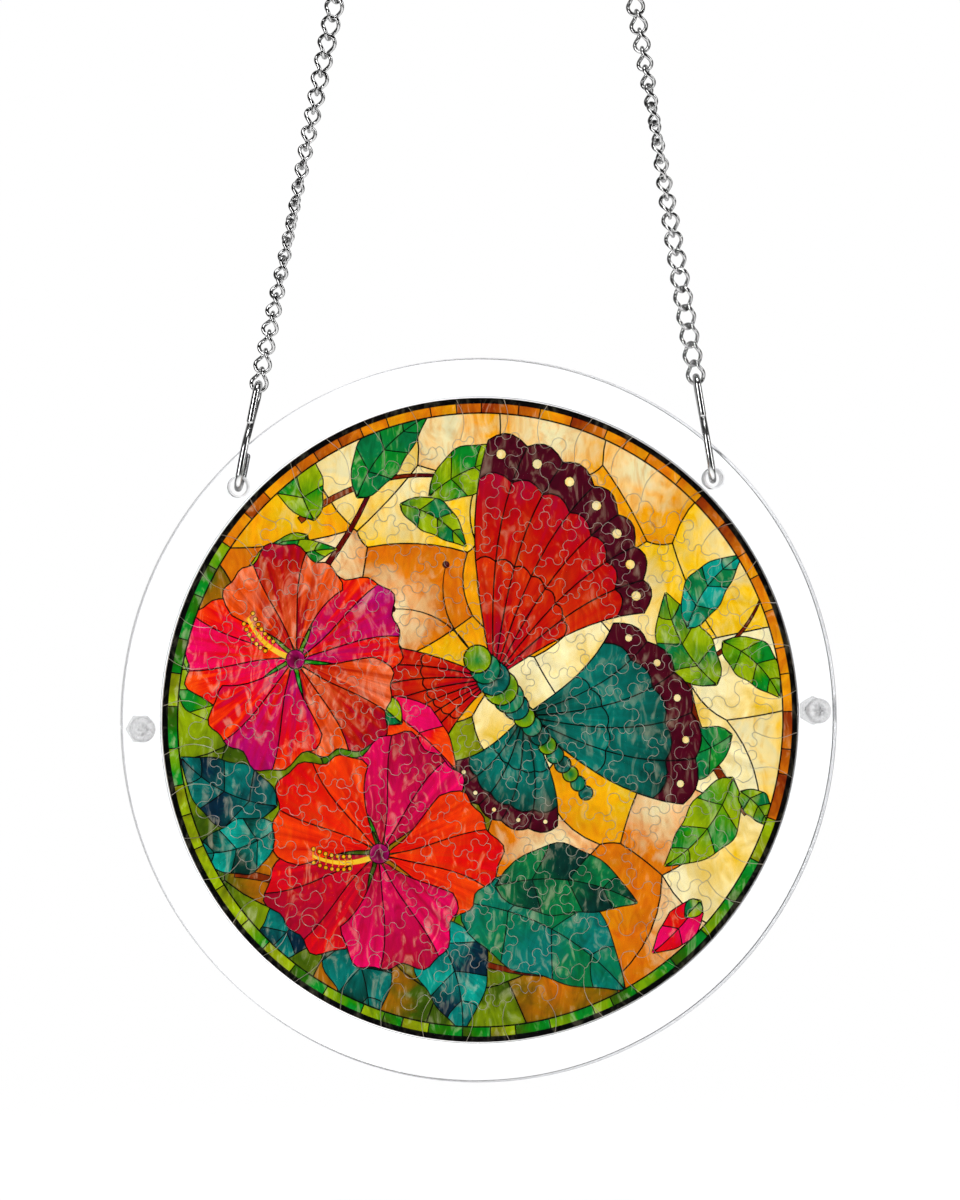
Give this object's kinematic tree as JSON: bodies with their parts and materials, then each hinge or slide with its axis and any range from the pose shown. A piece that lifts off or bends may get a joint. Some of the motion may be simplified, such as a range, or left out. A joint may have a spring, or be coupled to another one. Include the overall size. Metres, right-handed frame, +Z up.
{
  "type": "acrylic puzzle suncatcher",
  "caption": "Round hanging ornament: a jigsaw disc in stained-glass colours between clear acrylic plates, hung from a ring on two twisted curb chains with S-hooks.",
  "frame": {"origin": "inner top of the top ring, where it rests on a hook or a nail", "axes": "+Z up, the picture faces -Y, +X to the viewer's right"},
  "size_m": [0.2, 0.0133, 0.5407],
  "materials": {
    "clear_acrylic": "clear polished sheet with laser-cut edges",
    "printed_acrylic": "translucent printed stained-glass colours, laser-cut into jigsaw pieces",
    "clear_plastic": "clear moulded plastic",
    "hook_steel": "bright drawn wire",
    "chain_nickel": "nickel-plated, bright"
  },
  "bodies": {
    "root": {"front_plate": "clear_acrylic", "middle_ring": "clear_acrylic", "back_plate": "clear_acrylic", "jigsaw_picture": "printed_acrylic", "left_screw": "clear_plastic", "right_screw": "clear_plastic", "left_nut": "clear_plastic", "right_nut": "clear_plastic", "left_hook": "hook_steel", "right_hook": "hook_steel", "left_chain": "chain_nickel", "right_chain": "chain_nickel", "top_ring": "hook_steel"}
  },
  "joints": []
}
